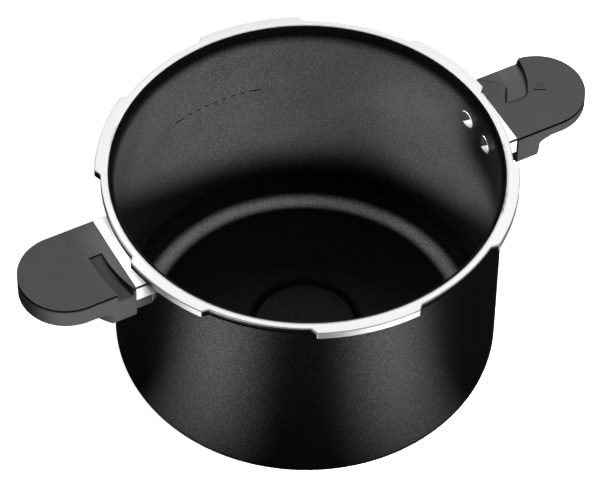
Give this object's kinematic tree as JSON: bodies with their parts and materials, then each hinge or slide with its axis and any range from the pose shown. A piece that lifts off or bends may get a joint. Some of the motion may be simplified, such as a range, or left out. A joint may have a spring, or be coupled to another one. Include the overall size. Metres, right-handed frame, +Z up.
{
  "type": "stovetop pressure cooker body",
  "caption": "Round black non-stick pressure cooker body, lid off, with a bare bayonet rim and short side handles on riveted brackets.",
  "frame": {"origin": "centre of the pot's base, on the surface that it stands on", "axes": "+Z up along the pot's axis, +X out along the handle with the alignment mark"},
  "size_m": [0.329, 0.2218, 0.129],
  "materials": {
    "coated_pot": "black speckled non-stick coating inside and out, bare turned rim and lugs",
    "handle_moulding": "matte dark grey phenolic",
    "bracket_sheet": "bright stamped stainless sheet",
    "rivet_metal": "polished",
    "screw_steel": "plated",
    "insert_brass": "turned"
  },
  "bodies": {
    "root": {"bracket_left": "bracket_sheet", "bracket_right": "bracket_sheet", "handle_left": "handle_moulding", "handle_right": "handle_moulding", "insert_left": "insert_brass", "insert_right": "insert_brass", "pot_body": "coated_pot", "rivet_left_far": "rivet_metal", "rivet_left_near": "rivet_metal", "rivet_right_far": "rivet_metal", "rivet_right_near": "rivet_metal", "screw_left": "screw_steel", "screw_right": "screw_steel", "washer_left": "screw_steel", "washer_right": "screw_steel"}
  },
  "joints": []
}
